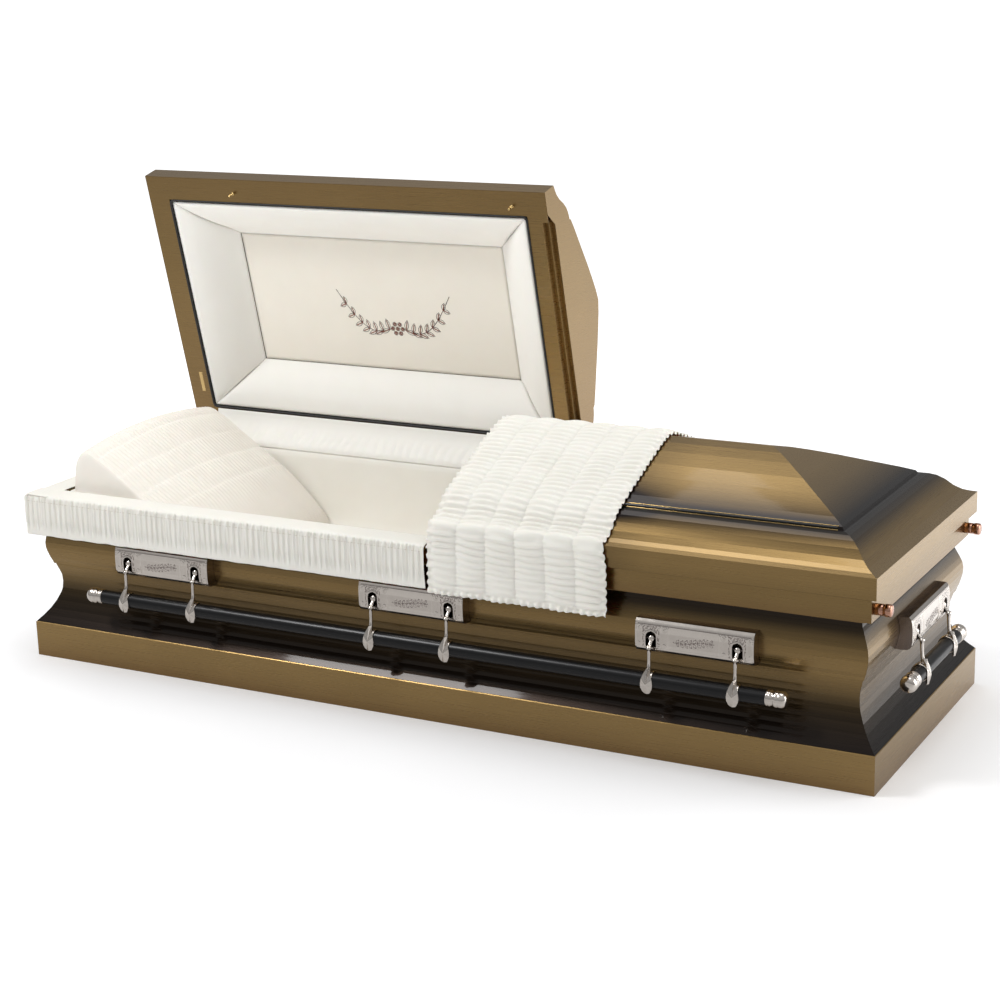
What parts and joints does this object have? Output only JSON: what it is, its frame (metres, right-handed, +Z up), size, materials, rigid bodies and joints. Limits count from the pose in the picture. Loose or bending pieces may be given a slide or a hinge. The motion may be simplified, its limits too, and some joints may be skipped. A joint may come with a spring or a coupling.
{
  "type": "funeral casket",
  "caption": "Half-couch steel funeral casket with a split hinged lid, head part open, cloth-lined interior with pillow, and swing-bar handles on every side.",
  "frame": {"origin": "centre of the base's underside, on the floor plane", "axes": "+X towards the foot end, -Y towards the front where the lids open, +Z up"},
  "size_m": [2.168, 0.8483, 1.1048],
  "materials": {
    "bronze": "brushed under a gloss clear coat, bronze-gold",
    "pan": "plain, semi-matt",
    "nickel": "polished nickel with a warm tone",
    "bar": "satin charcoal",
    "copper": "polished copper tone",
    "lining": "smooth cream cloth",
    "pleated": "shirred ivory cloth",
    "hinge": "plain bronze-coated"
  },
  "bodies": {
    "casket": {"base_moulding": "bronze", "bottom_pan": "pan", "front_side_panel": "bronze", "back_side_panel": "bronze", "head_end_panel": "bronze", "foot_end_panel": "bronze", "top_moulding": "bronze", "locking_tube_front": "copper", "locking_tube_rear": "copper", "body_lining": "lining", "pillow": "pleated", "front_skirt": "pleated", "head_end_skirt": "pleated", "body_hinge_leaf": "hinge", "front_lug_1": "nickel", "front_lug_2": "nickel", "front_lug_3": "nickel", "back_lug_1": "nickel", "back_lug_2": "nickel", "back_lug_3": "nickel", "head_lug_1": "nickel", "foot_lug_1": "nickel"},
    "head_lid": {"head_lid_shell": "bronze", "head_lid_rim": "bronze", "head_lid_roll": "lining", "head_lid_cap_panel": "lining", "head_lid_hinge_leaf": "hinge"},
    "foot_lid": {"foot_lid_shell": "bronze", "foot_lid_rim": "bronze", "foot_lid_lining": "lining", "throw": "pleated", "foot_lid_hinge_leaf": "hinge"},
    "front_handle": {"front_arm_1a": "nickel", "front_arm_1b": "nickel", "front_arm_2a": "nickel", "front_arm_2b": "nickel", "front_arm_3a": "nickel", "front_arm_3b": "nickel", "front_bar": "bar", "front_bar_tip_a": "nickel", "front_bar_tip_b": "nickel"},
    "back_handle": {"back_arm_1a": "nickel", "back_arm_1b": "nickel", "back_arm_2a": "nickel", "back_arm_2b": "nickel", "back_arm_3a": "nickel", "back_arm_3b": "nickel", "back_bar": "bar", "back_bar_tip_a": "nickel", "back_bar_tip_b": "nickel"},
    "head_handle": {"head_arm_1a": "nickel", "head_arm_1b": "nickel", "head_bar": "bar", "head_bar_tip_a": "nickel", "head_bar_tip_b": "nickel"},
    "foot_handle": {"foot_arm_1a": "nickel", "foot_arm_1b": "nickel", "foot_bar": "bar", "foot_bar_tip_a": "nickel", "foot_bar_tip_b": "nickel"}
  },
  "joints": [
    {"name": "head_lid_hinge", "type": "hinge", "parent": "casket", "child": "head_lid", "pos_m": [0, 0.357, 0.4085], "axis": [-1, 0, 0], "range_deg": [-76.4, 0], "deforming": ["pillow"]},
    {"name": "foot_lid_hinge", "type": "hinge", "parent": "casket", "child": "foot_lid", "pos_m": [0, 0.357, 0.4085], "axis": [-1, 0, 0], "range_deg": [0, 76.4]},
    {"name": "front_handle_swing", "type": "hinge", "parent": "casket", "child": "front_handle", "pos_m": [0, -0.35, 0.265], "axis": [-1, 0, 0], "range_deg": [0, 85]},
    {"name": "back_handle_swing", "type": "hinge", "parent": "casket", "child": "back_handle", "pos_m": [0, 0.35, 0.265], "axis": [1, 0, 0], "range_deg": [0, 85]},
    {"name": "foot_handle_swing", "type": "hinge", "parent": "casket", "child": "foot_handle", "pos_m": [1.049, 0, 0.265], "axis": [0, -1, 0], "range_deg": [0, 85]},
    {"name": "head_handle_swing", "type": "hinge", "parent": "casket", "child": "head_handle", "pos_m": [-1.049, 0, 0.265], "axis": [0, 1, 0], "range_deg": [0, 85]}
  ]
}
